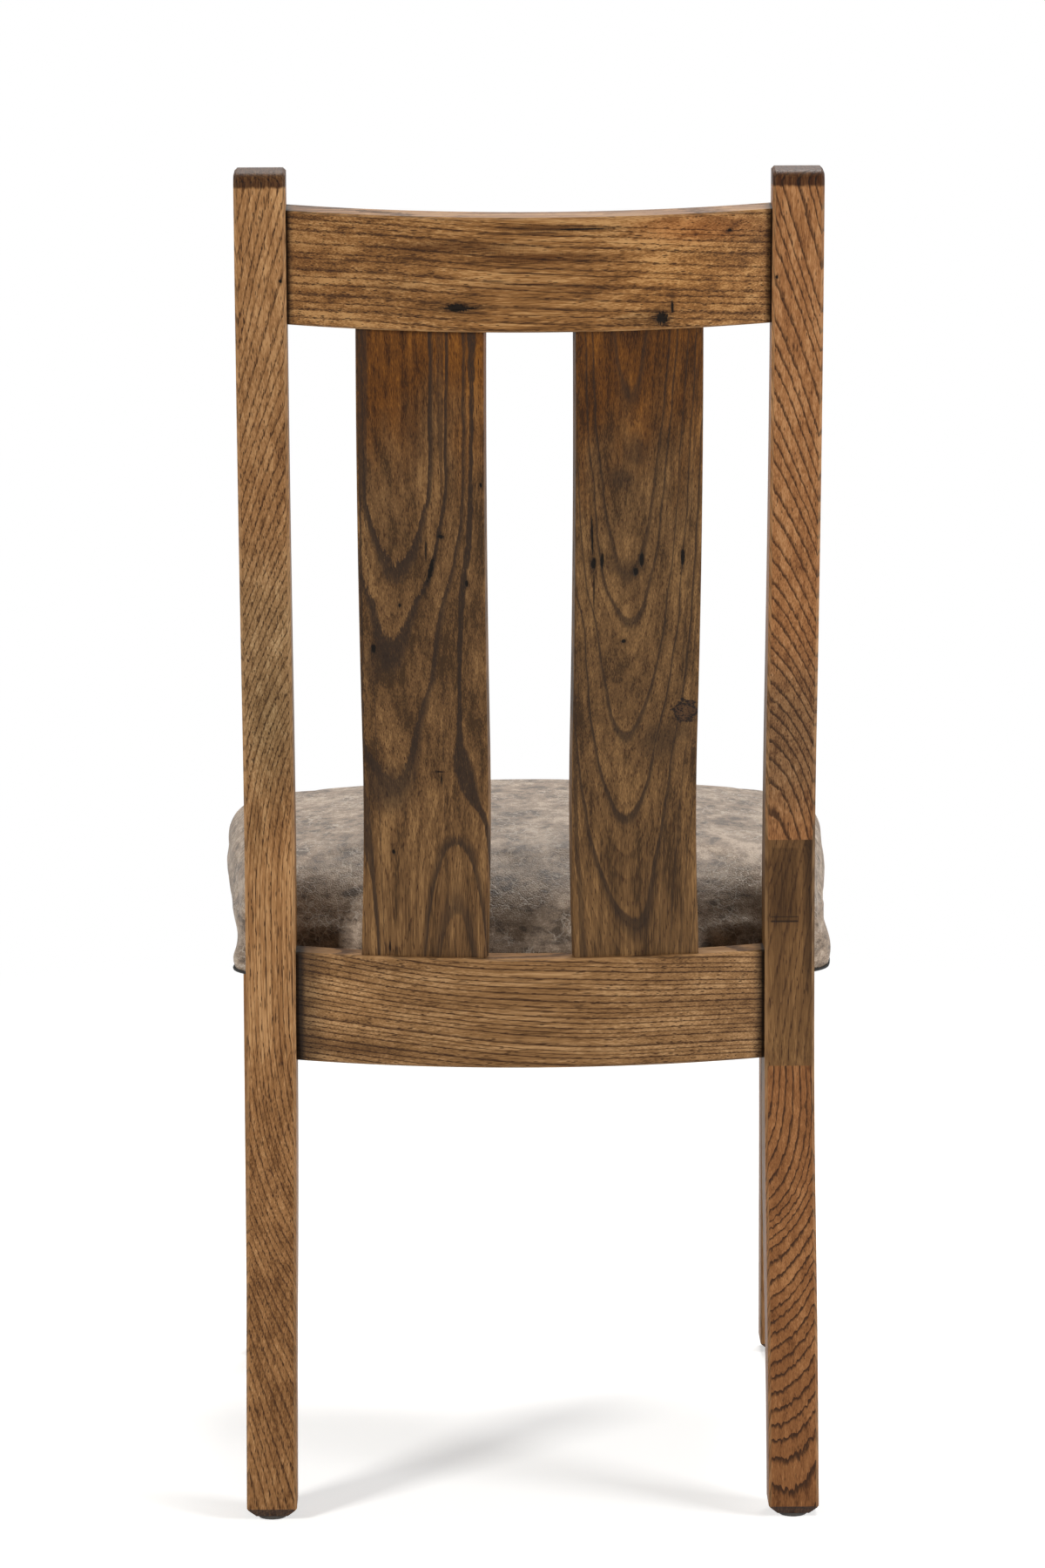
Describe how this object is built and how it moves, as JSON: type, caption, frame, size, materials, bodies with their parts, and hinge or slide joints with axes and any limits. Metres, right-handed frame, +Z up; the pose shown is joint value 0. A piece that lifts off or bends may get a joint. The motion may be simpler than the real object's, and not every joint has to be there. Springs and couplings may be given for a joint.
{
  "type": "side chair",
  "caption": "Wooden side chair with a bowed two-slat back, swept rear posts, square front legs and an upholstered leather seat pad.",
  "frame": {"origin": "on the floor, under the middle of the chair's bounding box", "axes": "+Z up, -Y the way a seated person faces, +X to the seated person's left"},
  "size_m": [0.4954, 0.5693, 1.0262],
  "materials": {
    "post_oak": "satin, oiled reclaimed oak with open grain",
    "post_red": "satin, reddish reclaimed oak with open grain",
    "post_patch": "satin, darker straight-grained lamination",
    "rail_oak": "satin, oiled reclaimed oak",
    "slat_oak": "satin, plain-sawn reclaimed oak with old nail holes",
    "frame_wood": "matt, planed hardwood",
    "dowel_beech": "matt, fluted beech",
    "seat_leather": "satin, distressed taupe leather",
    "seat_foam": "matt, cut foam under wadding",
    "board_ply": "matt, plywood",
    "dust_cloth": "matt, black non-woven cloth",
    "screw_steel": "bright, zinc plated",
    "glide_plastic": "matt, dark nylon"
  },
  "bodies": {
    "root": {"rear_post_left": "post_oak", "rear_post_right_front_layer": "post_red", "rear_post_right_lower_layer": "post_red", "rear_post_right_upper_layer": "post_red", "crest_rail": "rail_oak", "lower_back_rail": "rail_oak", "back_slat_left": "slat_oak", "back_slat_right": "slat_oak", "front_leg_left": "post_oak", "front_leg_right": "post_oak", "front_seat_rail": "rail_oak", "side_seat_rail_left": "rail_oak", "side_seat_rail_right": "rail_oak", "side_rail_dowels_left": "dowel_beech", "side_rail_dowels_right": "dowel_beech", "front_rail_dowels": "dowel_beech", "corner_block_front_left": "frame_wood", "corner_block_front_right": "frame_wood", "corner_block_rear_left": "frame_wood", "corner_block_rear_right": "frame_wood", "corner_block_screws": "screw_steel", "seat_screws": "screw_steel", "seat_cover": "seat_leather", "seat_foam": "seat_foam", "seat_board": "board_ply", "dust_cover": "dust_cloth", "floor_glide_front_left": "glide_plastic", "floor_glide_front_right": "glide_plastic", "floor_glide_rear_left": "glide_plastic", "floor_glide_rear_right": "glide_plastic", "glide_nails": "screw_steel"}
  },
  "joints": []
}
